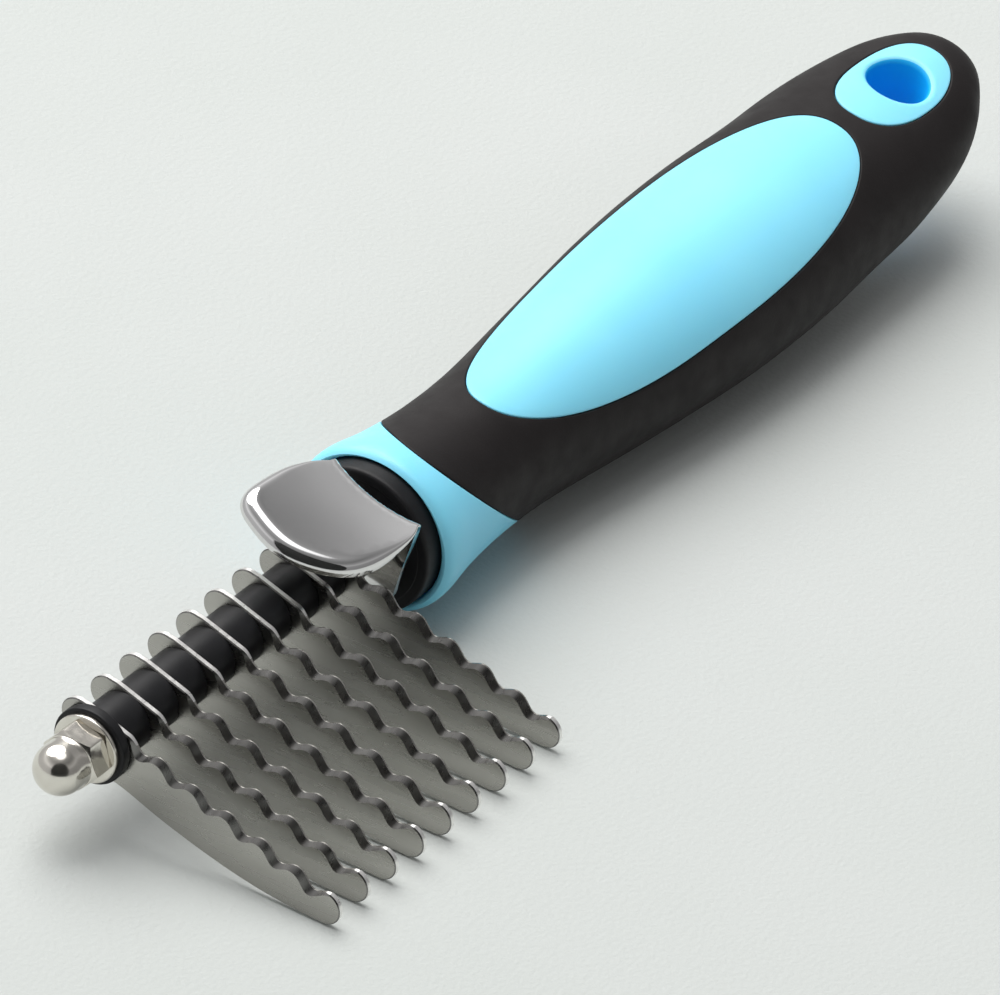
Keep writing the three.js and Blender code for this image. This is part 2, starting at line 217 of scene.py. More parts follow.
# ---------------------------------------------------------------- mesh helpers
class Shell:
    """Vertices and faces of one piece, welded where they meet."""

    def __init__(self):
        self.verts = []
        self.faces = []
        self.kinds = []

    def add(self, points, faces, kind=0):
        first = len(self.verts)
        self.verts.extend(tuple(float(c) for c in p) for p in points)
        self.faces.extend(tuple(first + i for i in f) for f in faces)
        self.kinds.extend([kind] * len(faces))

    def rows(self, rows, around=True, kind=0):
        """Quads between rows of equal length; around closes each row."""
        count = len(rows[0])
        points = [p for row in rows for p in row]
        faces = []
        for j in range(len(rows) - 1):
            for i in range(count if around else count - 1):
                k = (i + 1) % count
                a, b = j * count, (j + 1) * count
                faces.append((a + i, a + k, b + k, b + i))
        self.add(points, faces, kind)

    def mesh(self, name, sharp, twist):
        mesh = bpy.data.meshes.new(name)
        mesh.from_pydata(self.verts, [], self.faces)
        mesh.polygons.foreach_set("material_index", self.kinds)
        mesh.transform(TOOL @ Matrix.Rotation(math.radians(twist), 4, "X"))
        bm = bmesh.new()
        bm.from_mesh(mesh)
        bmesh.ops.remove_doubles(bm, verts=bm.verts, dist=4e-7)
        bmesh.ops.dissolve_degenerate(bm, edges=bm.edges, dist=2e-7)
        bmesh.ops.recalc_face_normals(bm, faces=bm.faces)
        bm.to_mesh(mesh)
        bm.free()
        mesh.shade_smooth()
        mesh.set_sharp_from_angle(angle=math.radians(sharp))
        return mesh


def piece(name, shell, materials, body, nodes=(), sharp=38.0, twist=0.0):
    """Makes the object, ties it to its body and hides the CAD nodes it replaces."""
    mesh = shell.mesh(name, sharp, twist)
    obj = bpy.data.objects.new(name, mesh)
    bpy.context.scene.collection.objects.link(obj)
    for material in materials:
        mesh.materials.append(material)
    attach(obj, body)
    if nodes:
        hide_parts(*nodes)
    return obj


def filleted(corners, steps=5):
    """A closed outline of (a, b, radius) corners with each corner rounded."""
    out = []
    count = len(corners)
    for i, (a, b, radius) in enumerate(corners):
        here = Vector((a, b))
        before = Vector(corners[i - 1][:2]) - here
        after = Vector(corners[(i + 1) % count][:2]) - here
        if radius <= 0:
            out.append(here)
            continue
        half = before.angle(after) / 2
        reach = radius / math.tan(half)
        reach = min(reach, 0.49 * before.length, 0.49 * after.length)
        start = here + before.normalized() * reach
        end = here + after.normalized() * reach
        for k in range(steps + 1):
            t = k / steps
            out.append(start * (1 - t) ** 2 + here * 2 * t * (1 - t) + end * t * t)
    return out


def turned(shell, section, count=96, kind=0):
    """A closed (x, radius) section turned about the rod."""
    rows = []
    for p in list(section) + [section[0]]:
        row = []
        for i in range(count):
            a = 2 * math.pi * i / count
            row.append((p[0], p[1] * math.cos(a), p[1] * math.sin(a)))
        rows.append(row)
    shell.rows(rows, kind=kind)
    return shell


def ring_shell(inner, outer, x0, x1, edge, count=96):
    corners = [(x0, inner, 0), (x0, outer, edge), (x1, outer, edge), (x1, inner, 0)]
    return turned(Shell(), filleted(corners), count)


def is_inside(points, loops):
    """Even-odd test of an array of points against closed loops."""
    x, y = points[:, 0], points[:, 1]
    odd = np.zeros(len(points), bool)
    for loop in loops:
        ax, ay = loop[:, 0], loop[:, 1]
        bx, by = np.roll(ax, -1), np.roll(ay, -1)
        for k in range(len(loop)):
            if ay[k] == by[k]:
                continue
            crosses = (ay[k] > y) != (by[k] > y)
            at = ax[k] + (y - ay[k]) * (bx[k] - ax[k]) / (by[k] - ay[k])
            odd ^= crosses & (x < at)
    return odd


def fill(loops, pitch):
    """Points and triangles that fill the region between closed 2D loops."""
    edge = np.concatenate(loops)
    low, high = edge.min(0), edge.max(0)
    us = np.arange(low[0] + pitch / 2, high[0], pitch)
    vs = np.arange(low[1] + pitch / 2, high[1], pitch * 0.87)
    grid_u, grid_v = np.meshgrid(us, vs)
    grid_u = grid_u + (np.arange(len(vs)) % 2)[:, None] * pitch / 2
    grid = np.stack([grid_u.ravel(), grid_v.ravel()], 1)
    grid = grid[is_inside(grid, loops)]
    tree = kdtree.KDTree(len(edge))
    for i, (u, v) in enumerate(edge):
        tree.insert((u, v, 0), i)
    tree.balance()
    clear = [tree.find((u, v, 0))[2] > 0.55 * pitch for u, v in grid]
    points = np.concatenate([edge, grid[np.array(clear, bool)]])
    edges, first = [], 0
    for loop in loops:
        n = len(loop)
        edges += [(first + i, first + (i + 1) % n) for i in range(n)]
        first += n
    found = delaunay_2d_cdt([Vector(p) for p in points], edges, [], 0, 1e-6)
    verts = np.array([tuple(v) for v in found[0]])
    triangles = np.array([t for t in found[2] if len(t) == 3])
    middle = verts[triangles].mean(1)
    return verts, triangles[is_inside(middle, loops)]


def inward(loop):
    """Unit normals of a closed 2D loop, pointing into the region it holds."""
    ahead = np.roll(loop, -1, 0) - np.roll(loop, 1, 0)
    ahead /= np.linalg.norm(ahead, axis=1)[:, None]
    normal = np.stack([-ahead[:, 1], ahead[:, 0]], 1)
    nxt = np.roll(loop, -1, 0)
    area = np.sum(loop[:, 0] * nxt[:, 1] - nxt[:, 0] * loop[:, 1])
    return normal if area > 0 else -normal


def resampled(points, step):
    """A closed polyline at even spacing."""
    p = np.array([tuple(q) for q in points], float)
    p = np.concatenate([p, p[:1]])
    gaps = np.linalg.norm(np.diff(p, axis=0), axis=1)
    s = np.concatenate([[0], np.cumsum(gaps)])
    at = np.linspace(0, s[-1], max(8, round(s[-1] / step)) + 1)[:-1]
    return np.stack([np.interp(at, s, p[:, k]) for k in range(2)], 1)


def bezier(points, steps=14):
    """Points of a quadratic or cubic curve, without its last point."""
    out = []
    for k in range(steps):
        t = k / steps
        level = [Vector(p) for p in points]
        while len(level) > 1:
            level = [a.lerp(b, t) for a, b in zip(level, level[1:])]
        out.append(level[0])
    return out


def smoothstep(value):
    t = np.clip(value, 0, 1)
    return t * t * (3 - 2 * t)


def spline(stations, knots, at):
    """Natural cubic spline through the stations."""
    n = len(knots)
    h = np.diff(knots)
    system, right = np.eye(n), np.zeros((n, stations.shape[1]))
    for i in range(1, n - 1):
        system[i, i - 1:i + 2] = [h[i - 1], 2 * (h[i - 1] + h[i]), h[i]]
        slope_after = (stations[i + 1] - stations[i]) / h[i]
        slope_before = (stations[i] - stations[i - 1]) / h[i - 1]
        right[i] = 6 * (slope_after - slope_before)
    bend = np.linalg.solve(system, right)
    i = np.clip(np.searchsorted(knots, at) - 1, 0, n - 2)
    a = ((knots[i + 1] - at) / h[i])[:, None]
    b = ((at - knots[i]) / h[i])[:, None]
    hh = (h[i] ** 2 / 6)[:, None]
    curve = a * stations[i] + b * stations[i + 1]
    return curve + ((a ** 3 - a) * bend[i] + (b ** 3 - b) * bend[i + 1]) * hh


# ----------------------------------------------------------------- handle skin
def skin_table():
    """Distance along the skin, x, half width, half thickness and rise."""
    rows = np.array(HANDLE)
    mirror = rows[-2::-1][:6] * [1, -1, -1, 1]  # keeps the tail's end round
    both = np.concatenate([rows, mirror])
    gaps = np.hypot(np.diff(both[:, 0]), np.diff(both[:, 1]))
    knots = np.concatenate([[0], np.cumsum(gaps)])
    end = knots[len(rows) - 1]
    at = np.linspace(0, end, 1600)
    table = np.column_stack([at, spline(both, knots, at)])
    table[:, 2:4] = np.maximum(table[:, 2:4], 0)
    table[-1, 2:4] = 0
    return table


SKIN = skin_table()
SKIN_END = SKIN[-1, 0]


def skin(u, angle, depth=0.0):
    """Point at distance u along the handle and at an angle from the thumb side."""
    u = np.asarray(u, float)
    x, wide, thick, rise = (np.interp(u, SKIN[:, 0], SKIN[:, k]) for k in (1, 2, 3, 4))
    tail = smoothstep((x - SKIN[-1, 1] + TAIL_TAPER) / TAIL_TAPER)
    x = x - depth * tail
    wide = np.maximum(wide - depth, 0.05 * wide)
    thick = np.maximum(thick - depth, 0.05 * thick)
    return np.stack([x, wide * np.sin(angle), rise + thick * np.cos(angle)], -1)


def u_of(x):
    return np.interp(x, SKIN[:, 1], SKIN[:, 0])


def plan_to_skin(x, y, under=False):
    """Skin coordinates (u, scaled angle) under a point of the plan."""
    u = u_of(x)
    wide = np.interp(u, SKIN[:, 0], SKIN[:, 2])
    angle = np.arcsin(np.clip(y / wide, -1, 1))
    if under:
        angle = math.pi - angle
    return np.stack([u, angle * ANGLE_SCALE], -1)


def oval(shape, grow, count):
    """Plan outline of a panel: an oval a little fuller than an ellipse."""
    a = 2 * np.pi * np.arange(count) / count
    c, s = np.cos(a), np.sin(a)
    power = 2 / shape["full"]
    x = np.sign(c) * np.abs(c) ** power
    y = np.sign(s) * np.abs(s) ** power
    egg = 1 + shape.get("egg", 0) * x
    return (
        shape["x"] + (shape["long"] + grow) * x,
        (shape["half"] + grow) * y * egg,
    )


def even_oval(shape, grow, count):
    """The same outline at even spacing, in plan."""
    x, y = oval(shape, grow, 6 * count)
    points = np.stack([x, y], 1)
    loop = np.concatenate([points, points[:1]])
    s = np.concatenate([[0], np.cumsum(np.linalg.norm(np.diff(loop, axis=0), axis=1))])
    at = np.linspace(0, s[-1], count + 1)[:-1]
    return np.interp(at, s, loop[:, 0]), np.interp(at, s, loop[:, 1])


def front_edge(angle, offset):
    """Distance u of the rubber's slanted front edge, at each angle."""
    turn = math.radians(GRIP_TURN)
    x = np.full(np.shape(angle), 72.0)
    for _ in range(12):
        p = skin(u_of(x), angle)
        height = p[..., 2] * math.cos(turn) - p[..., 1] * math.sin(turn)
        x = GRIP_TOP_X + offset + GRIP_SLANT * (1 - height / NECK_R)
    return u_of(x)


def rim_profile(radius, wall, steps=4):
    """(inset, depth) pairs from the outer face over a round edge and down."""
    out = []
    for k in range(steps + 1):
        a = k / steps * math.pi / 2
        out.append((radius * (1 - math.sin(a)), radius * (1 - math.cos(a))))
    return out + [(0.0, (radius + wall) / 2), (0.0, wall), (radius, wall)]


def on_skin(flat, depth=0.0):
    flat = np.asarray(flat)
    return skin(flat[..., 0], flat[..., 1] / ANGLE_SCALE, depth)


# -------------------------------------------------------------- handle pieces
def grip_shell():
    shell = Shell()
    start = -math.pi / 2
    columns = HANDLE_COLUMNS

    def front(inset):
        angle = start + 2 * np.pi * np.arange(columns + 1) / columns
        return np.stack([front_edge(angle, SEAM + inset), angle * ANGLE_SCALE], 1)

    def window(shape, under):
        count = PANEL_POINTS if shape is PANEL else EYELET_WINDOW_POINTS

        def loop(inset):
            x, y = even_oval(shape, SEAM + inset, count)
            return plan_to_skin(x, y, under)
        return loop

    windows = [window(PANEL, False), window(EYELET, False), window(EYELET, True)]
    edge = front(SEAM_ROUND)
    seam_u = np.linspace(edge[0, 0], SKIN_END, SIDE_ROWS)[1:]
    right = np.stack([seam_u, np.full(len(seam_u), edge[-1, 1])], 1)
    tail = np.linspace(edge[-1, 1], edge[0, 1], 40)[1:-1]
    tail = np.stack([np.full(len(tail), SKIN_END), tail], 1)
    left = np.stack([seam_u, np.full(len(seam_u), edge[0, 1])], 1)[::-1]
    outer = np.concatenate([edge, right, tail, left])
    loops = [outer] + [w(SEAM_ROUND) for w in windows]
    points, triangles = fill(loops, GRIP_PITCH)
    shell.add(on_skin(points), triangles)
    shell.add(on_skin(points, GRIP_WALL), triangles)
    profile = rim_profile(SEAM_ROUND, GRIP_WALL)
    shell.rows([on_skin(front(i), d)[:-1] for i, d in profile])
    for w in windows:
        shell.rows([on_skin(w(i), d) for i, d in profile])
    return shell


def collar_shell():
    shell = Shell()
    columns = HANDLE_COLUMNS
    angle = -math.pi / 2 + 2 * np.pi * np.arange(columns) / columns

    def circle(x, radius):
        return np.stack(
            [np.full(columns, x), radius * np.sin(angle), radius * np.cos(angle)], 1
        )

    recess = BOSS["r"] + RECESS_CLEARANCE
    back = BOSS["back"] + RECESS_CLEARANCE
    lip = skin(np.zeros(columns), angle)
    rows = [circle(back, 0.0), circle(back, recess), circle(COLLAR_FACE + 0.5, recess)]
    for t in (0.25, 0.5, 0.75, 0.93):
        x = COLLAR_FACE + COLLAR_DISH * (1 - t) ** 2
        row = circle(x, recess) * (1 - t) + lip * t
        row[:, 0] = x
        rows.append(row)
    for u in (0.0, 0.15, 0.3, 0.5, 0.75, 1.0, 1.3, 1.6, 2.0, COLLAR_LIP):
        rows.append(skin(np.full(columns, u), angle))
    end = front_edge(angle, -SEAM - SEAM_ROUND)
    for k in range(1, COLLAR_ROWS + 1):
        rows.append(skin(COLLAR_LIP + (end - COLLAR_LIP) * k / COLLAR_ROWS, angle))
    for inset, depth in rim_profile(SEAM_ROUND, GRIP_WALL)[1:-1]:
        rows.append(skin(front_edge(angle, -SEAM - inset), angle, depth))
    rows.append(circle(COLLAR_FACE + COLLAR_CORE, 0.0))
    shell.rows(rows)
    return shell


def panel_shell():
    shell = Shell()

    def loop(inset):
        x, y = even_oval(PANEL, -SEAM - inset, PANEL_POINTS)
        return plan_to_skin(x, y)

    points, triangles = fill([loop(SEAM_ROUND)], PANEL_PITCH)
    shell.add(on_skin(points), triangles)
    shell.add(on_skin(points, GRIP_WALL), triangles)
    shell.rows([on_skin(loop(i), d) for i, d in rim_profile(SEAM_ROUND, GRIP_WALL)])
    return shell


def eyelet_shell():
    """The ring round the hanging hole, right through the handle."""
    shell = Shell()
    count = EYELET_POINTS

    def face(inner, under, depth=0.0):
        """Row at a share of the way out from the hole's edge to the rim."""
        hx, hy = even_oval(HOLE, HOLE_ROUND, count)
        ox, oy = even_oval(EYELET, -SEAM - SEAM_ROUND, count)
        x, y = hx + (ox - hx) * inner, hy + (oy - hy) * inner
        return on_skin(plan_to_skin(x, y, under), depth)

    def rim(inset, depth, under):
        x, y = even_oval(EYELET, -SEAM - inset, count)
        return on_skin(plan_to_skin(x, y, under), depth)

    def bore(grow, depth, under):
        x, y = even_oval(HOLE, grow, count)
        row = on_skin(plan_to_skin(x, y, under))
        row[:, 2] += depth if under else -depth
        return row

    def tube(grow, under):
        x, y = even_oval(HOLE, grow, count)
        return on_skin(plan_to_skin(x, y, under), GRIP_WALL)

    def side(under):
        rows = []
        for k in range(7):
            a = math.pi / 2 * k / 6
            grow = HOLE_ROUND * (1 - math.cos(a))
            rows.append(bore(grow, HOLE_ROUND * (1 - math.sin(a)), under))
        rows += [face(k / 8, under) for k in range(1, 9)]
        profile = rim_profile(SEAM_ROUND, GRIP_WALL)[1:-1]
        rows += [rim(i, d, under) for i, d in profile]
        rows.append(tube(HOLE_TUBE, under))
        return rows

    top, bottom = side(False), side(True)
    wall = [top[0] + (bottom[0] - top[0]) * t for t in np.linspace(0, 1, 9)]
    shell.rows(top[:2:-1])
    # The hole's wall and its rounded edges take the deeper blue, which is painted shade in the
    # hole
    shell.rows(top[3::-1] + wall[1:-1] + bottom[:4], kind=1)
    shell.rows(bottom[3:] + [top[-1]])
    return shell


def boss_shell():
    front = LEG_X + SHEET_T + GAP
    step = BOSS["face"] + BOSS["step"]
    corners = [
        (front, BORE_R, 0), (front, BOSS["spigot"], 0.2),
        (step, BOSS["spigot"], 0.3), (step, BOSS["step_in"], 0.05),
        (BOSS["face"], BOSS["step_out"], 0.05), (BOSS["face"], BOSS["r"], 0.8),
        (BOSS["back"], BOSS["r"], 0), (BOSS["back"], BORE_R, 0),
    ]
    return turned(Shell(), filleted(corners, 6), 128)


# ---------------------------------------------------------------- small parts
def nut_shell():
    """Hexagon with turned chamfers and a dome, on columns that fit its corners."""
    shell = Shell()
    corner = NUT["af"] / math.sqrt(3)
    hexagon = []
    for i in range(6):
        a = i * math.pi / 3
        hexagon.append((corner * math.cos(a), corner * math.sin(a), NUT["corner"]))
    outline = np.array([tuple(p) for p in filleted(hexagon, 6)])
    dense = []
    for a, b in zip(outline, np.roll(outline, -1, 0)):
        parts = 12 if np.linalg.norm(b - a) > 1 else 1
        dense += [a + (b - a) * k / parts for k in range(parts)]
    dense = np.array(dense)
    reach = np.linalg.norm(dense, axis=1)
    heading = dense / reach[:, None]
    flat = NUT["af"] / 2

    def row(x, radius):
        x, radius = np.broadcast_to(x, reach.shape), np.broadcast_to(radius, reach.shape)
        return np.column_stack([x, heading * radius[:, None]])

    bore, end = NUT["bore"], -NUT["bore_end"]
    rows = [row(end, 0.0), row(end, bore), row(0, bore), row(0, flat - 0.02)]
    chamfer = reach - flat + 0.05
    rows.append(row(-chamfer * NUT["rear_slope"], reach))
    front = -NUT["hex"] + chamfer * NUT["front_slope"]
    rows.append(row(front * 0.5 - 0.2, reach))
    rows.append(row(front, reach))
    rows.append(row(-NUT["hex"], flat - 0.02))
    rows.append(row(-NUT["hex"] - 0.03, flat - 0.14))
    dome, centre = NUT["dome_r"], NUT["dome_x"]
    rows.append(row(-NUT["hex"] - 0.1, dome + 0.02))
    rows.append(row(-NUT["hex"] - 0.8, dome))
    for k in range(25):
        a = math.pi / 2 * k / 24
        rows.append(row(centre - dome * math.sin(a), dome * math.cos(a)))
    shell.rows(rows)
    return shell


def rod_shell():
    """Double-D rod with its thread at the nut's end."""
    shell = Shell()
    count = 48
    angle = 2 * np.pi * np.arange(count) / count

    def row(x, radius):
        y, z = radius * np.cos(angle), radius * np.sin(angle)
        return np.column_stack([np.full(count, x), y, np.clip(z, -ROD["flat"], ROD["flat"])])

    steps = round((ROD["thread_end"] - ROD["start"]) / (THREAD_PITCH / THREAD_STEPS))
    rows = [row(ROD["start"], 0.0)]
    for k in range(steps + 1):
        x = ROD["start"] + (ROD["thread_end"] - ROD["start"]) * k / steps
        phase = (x / THREAD_PITCH - angle / (2 * np.pi)) % 1
        cut = THREAD_DEPTH * np.abs(phase * 2 - 1)
        fade = min(1.0, (ROD["thread_end"] - x) / THREAD_FADE)
        rows.append(row(x, ROD["r"] - cut * fade))
    rows.append(row(ROD["end"] - ROD_CHAMFER, ROD["r"]))
    rows.append(row(ROD["end"], ROD["r"] - ROD_CHAMFER))
    rows.append(row(ROD["end"], 0.0))
    shell.rows(rows)
    return shell


# -------------------------------------------------------------------- a blade
def blade_outline():
    """The blade's outline, and how much of the ground face each point has."""
    points, ground = [], []

    def arc(centre, radius, start, stop, count):
        for i in range(count + 1):
            a = math.radians(start + (stop - start) * i / count)
            points.append((centre[0] + radius * math.cos(a), centre[1] + radius * math.sin(a)))
            ground.append(0.0)

    arc(LOBE, LOBE_R, -72, 96, 30)
    for i in range(1, 9):
        y = points[30][0] + (WAVE_START - points[30][0]) * i / 9
        points.append((y, EDGE_HEIGHT + EDGE_SLOPE * y))
        ground.append(0.0)
    run = WAVES * WAVE_POINTS
    for i in range(run):
        y = WAVE_START - i * WAVE_PITCH / WAVE_POINTS
        wave = ((1 - math.cos(2 * math.pi * i / WAVE_POINTS)) / 2) ** WAVE_POWER
        points.append((y, EDGE_HEIGHT + EDGE_SLOPE * y - WAVE_DEPTH * wave))
        ground.append(float(smoothstep(min(i / 9, (run - i) / 7))))
    arc(TIP, TIP_R, 96, 262, 26)
    back = np.array(BLADE_BACK, float)
    gaps = np.linalg.norm(np.diff(back, axis=0), axis=1)
    knots = np.concatenate([[0], np.cumsum(gaps)])
    for p in spline(back, knots, np.linspace(0, knots[-1], 64))[1:-1]:
        points.append(tuple(p))
        ground.append(0.0)
    return np.array(points), np.array(ground)


def blade_hole():
    a = math.asin(BORE_FLAT / BORE_R)
    right = np.linspace(-a, a, 22)
    turn = np.concatenate([right, right + math.pi])
    return BORE_R * np.stack([np.cos(turn), np.sin(turn)], 1)


def blade_shell(front):
    shell = Shell()
    outline, ground = blade_outline()
    normal = inward(outline)
    hole = blade_hole()
    hole_out = hole * (1 + HOLE_CHAMFER / BORE_R)
    soft = EDGE_SOFT
    down = np.column_stack([GRIND_ACROSS * GRIND * ground, GRIND_DOWN * GRIND * ground])
    inner = outline + normal * (soft * (1 - ground))[:, None] + down
    meet = soft * (1 - ground) + GRIND_DEPTH * ground

    def lift(flat, depth):
        return np.column_stack([np.broadcast_to(front + depth, len(flat)), flat])

    points, triangles = fill([inner, hole_out], BLADE_FILL_PITCH)
    shell.add(lift(points, 0.0), triangles)
    half = outline + (inner - outline) * 0.45
    rows = [
        lift(inner, 0.0),
        lift(half, meet * (0.5 + 0.03 * ground)),
        lift(outline, meet),
        lift(outline, BLADE_T - soft * 0.8),
        lift(outline + normal * soft * 0.25, BLADE_T - soft * 0.25),
        lift(outline + normal * soft, BLADE_T),
    ]
    # The front edge strips and the ground face along the scallops take the darkened steel,
    # painted shade. The outline's side and back edge take the lightened steel, a painted
    # highlight, except along the scallops.
    shell.rows(rows[:3], kind=2)
    first = len(shell.kinds)
    shell.rows(rows[2:], kind=1)
    for k in range(first, len(shell.kinds)):
        if ground[(k - first) % len(ground)] > 0.5:
            shell.kinds[k] = 0
    shell.rows([
        lift(hole_out, 0.0),
        lift(hole, HOLE_CHAMFER),
        lift(hole, BLADE_T - HOLE_CHAMFER),
        lift(hole_out, BLADE_T),
    ])
    points, triangles = fill([outline + normal * soft, hole_out], BLADE_FILL_PITCH)
    shell.add(lift(points, BLADE_T), triangles)
    return shell


# ---------------------------------------------------------------- thumb rest
LEG_RUN = PAD_HEIGHT - BEND_R + LEG_R  # from the foot up to the bend
BEND_RUN = LEG_RUN + BEND_R * math.pi / 2
PAD_REAR = LEG_X + SHEET_T - BEND_R


def sheet_point(flat, depth):
    """Bends the flat blank: s from the foot's end, y across, depth inward."""
    s, y = flat[:, 0], flat[:, 1]
    depth = np.broadcast_to(depth, s.shape)
    turn = np.clip((s - LEG_RUN) / BEND_R, 0, math.pi / 2)
    on_pad = np.maximum(s - BEND_RUN, 0)
    x = PAD_REAR + BEND_R * np.cos(turn) - on_pad - depth * np.cos(turn)
    z = PAD_HEIGHT - BEND_R + BEND_R * np.sin(turn) - depth * np.sin(turn)
    z = z - np.maximum(LEG_RUN - s, 0)
    share = on_pad / (PAD_LENGTH - BEND_R)
    z = z + PAD_CROWN * np.sin(np.pi * np.clip(share, 0, 1)) * (on_pad > 0)
    raised = smoothstep((s - RAISE_START) / (LEG_RUN - RAISE_START))
    z = z - PAD_DISH * (1 - (y / PAD_HALF) ** 2) * smoothstep((s - LEG_RUN + 1) / 3)
    fade = 1 - smoothstep(share * 1.1)
    x = x + REAR_BOW * ((y / LEG_TOP_HALF) ** 2 - 0.62) * raised * fade
    return np.column_stack([x, y, z])


def blank_outline():
    """The thumb rest's flat blank, its edges round the pad and the foot."""
    points = []
    for k in range(30):
        a = -math.pi / 2 * (1 - k / 30)
        points.append((LEG_R + LEG_R * math.sin(a), LEG_R * math.cos(a)))
    points.append((LEG_R, LEG_R))

    def pad(x, y):
        return BEND_RUN + PAD_REAR - x, y

    edge = bezier([(PAD_REAR, 6.5), (52.2, 7.2), (50.0, 8.3), (47.5, 9.2)])
    edge += bezier([(47.5, 9.2), (45.2, 10.0), (42.0, 10.1)])
    edge += bezier([(42.0, 10.1), (38.6, 10.3), (37.7, 7.3)])
    edge += bezier([(37.7, 7.3), (36.5, 3.0), (36.6, 0.6), (38.4, -2.8)])
    edge += bezier([(38.4, -2.8), (40.2, -6.2), (42.6, -7.9), (46.6, -8.1)])
    edge += bezier([(46.6, -8.1), (51.2, -8.3), (PAD_REAR, -7.15)])
    points += [(LEG_RUN - 4.0, LEG_TOP_HALF - 0.2), (LEG_RUN - 1.0, LEG_TOP_HALF - 0.5)]
    points += [(LEG_RUN + 0.6, LEG_TOP_HALF - 0.62)]
    points += [pad(p.x, p.y) for p in edge]
    points += [(BEND_RUN, -7.15), (LEG_RUN, -LEG_TOP_HALF - 0.05), (LEG_R, -LEG_R)]
    for k in range(1, 30):
        a = -math.pi / 2 * k / 30
        points.append((LEG_R + LEG_R * math.sin(a), -LEG_R * math.cos(a)))
    return resampled(points, BLANK_STEP)


def thumb_shell():
    shell = Shell()
    loop = blank_outline()
    normal = inward(loop)
    for _ in range(6):
        normal = normal + 0.5 * (np.roll(normal, 1, 0) + np.roll(normal, -1, 0))
        normal /= np.linalg.norm(normal, axis=1)[:, None]
    x = PAD_REAR + BEND_RUN - loop[:, 0]
    curl = smoothstep((CURL_START - x) / CURL_RUN)
    radius = EDGE_R + (LIP_R - EDGE_R) * curl
    for _ in range(10):
        radius = (radius + np.roll(radius, 1) + np.roll(radius, -1)) / 3

    def ring(inset, depth):
        return sheet_point(loop + normal * np.broadcast_to(inset, radius.shape)[:, None], depth)

    rows = []
    for k in range(9):
        a = math.pi / 2 * k / 8
        rows.append(ring(radius * (1 - math.sin(a)), radius * (1 - math.cos(a))))
    low = radius * curl + SHEET_T * (1 - curl)
    thick = SHEET_T * curl
    rows.append(ring(thick * 0.12, radius + (low - radius) * 0.5 + 0.1 * curl))
    rows.append(ring(thick * 0.5, low + 0.14 * curl))
    rows.append(ring(thick * 0.9, low + 0.08 * curl))
    for k in range(7):
        t = k / 6
        inset = (1 - t) ** 2 * thick + 2 * t * (1 - t) * thick + t * t * radius
        depth = (1 - t) ** 2 * low + 2 * t * (1 - t) * SHEET_T + t * t * SHEET_T
        rows.append(ring(inset, depth))
    shell.rows(rows)
    a = 2 * np.pi * np.arange(48) / 48
    bore = np.stack([LEG_R + BORE_R * np.cos(a), BORE_R * np.sin(a)], 1)
    inner = loop + normal * radius[:, None]
    points, triangles = fill([inner, bore], THUMB_FILL_PITCH)
    shell.add(sheet_point(points, 0.0), triangles)
    shell.add(sheet_point(points, SHEET_T), triangles)
    shell.rows([sheet_point(bore, 0.0), sheet_point(bore, SHEET_T)])
    return shell


# ------------------------------------------------------------------ materials
def new_material(name):
    material = bpy.data.materials.new(name)
    material.use_nodes = True
    return material


def shader_of(material):
    return material.node_tree.nodes["Principled BSDF"]


def noise(tree, scale, detail=3.0, stretch=(1, 1, 1)):
    """Noise in the piece's own coordinates, in metres."""
    coords = tree.nodes.new("ShaderNodeTexCoord")
    mapping = tree.nodes.new("ShaderNodeMapping")
    mapping.inputs["Scale"].default_value = stretch
    texture = tree.nodes.new("ShaderNodeTexNoise")
    texture.inputs["Scale"].default_value = scale
    texture.inputs["Detail"].default_value = detail
    tree.links.new(coords.outputs["Object"], mapping.inputs["Vector"])
    tree.links.new(mapping.outputs["Vector"], texture.inputs["Vector"])
    return texture.outputs["Fac"]


def spread(tree, value, low, high, start=0.3, stop=0.7):
    node = tree.nodes.new("ShaderNodeMapRange")
    node.inputs["From Min"].default_value = start
    node.inputs["From Max"].default_value = stop
    node.inputs["To Min"].default_value = low
    node.inputs["To Max"].default_value = high
    tree.links.new(value, node.inputs["Value"])
    return node.outputs["Result"]


def blend_colors(tree, factor, first, second):
    node = tree.nodes.new("ShaderNodeMix")
    node.data_type = "RGBA"
    node.inputs[6].default_value = (*first, 1)
    node.inputs[7].default_value = (*second, 1)
    tree.links.new(factor, node.inputs[0])
    return node.outputs[2]


def add_bump(tree, shader, height, strength, distance):
    node = tree.nodes.new("ShaderNodeBump")
    node.inputs["Strength"].default_value = strength
    node.inputs["Distance"].default_value = distance
    tree.links.new(height, node.inputs["Height"])
    tree.links.new(node.outputs["Normal"], shader.inputs["Normal"])


def surface(name, colors, cloud, rough, grain, metallic=0.0, stretch=(1, 1, 1)):
    """cloud: colour noise scale. rough: low, high, scale. grain: scale, strength, m."""
    material = new_material(name)
    tree, shader = material.node_tree, shader_of(material)
    shader.inputs["Metallic"].default_value = metallic
    tone = spread(tree, noise(tree, cloud, 4.0, stretch), 0, 1)
    color = blend_colors(tree, tone, *colors)
    tree.links.new(color, shader.inputs["Base Color"])
    wear = spread(tree, noise(tree, rough[2], 4.0, stretch), rough[0], rough[1])
    tree.links.new(wear, shader.inputs["Roughness"])
    add_bump(tree, shader, noise(tree, grain[0], 3.0, stretch), grain[1], grain[2])
    return material


def blue_plastic():
    colors = ((0.238, 0.73, 0.985), (0.265, 0.765, 0.99))
    material = surface(
        "blue_moulding", colors, 45, (0.34, 0.46, 260), (5200, 0.10, 0.00004)
    )
    shader = shader_of(material)
    shader.inputs["Specular IOR Level"].default_value = 0.45
    shader.inputs["Subsurface Weight"].default_value = 0.12
    shader.inputs["Subsurface Radius"].default_value = (0.002, 0.006, 0.009)
    shader.inputs["Subsurface Scale"].default_value = 0.4
    return material
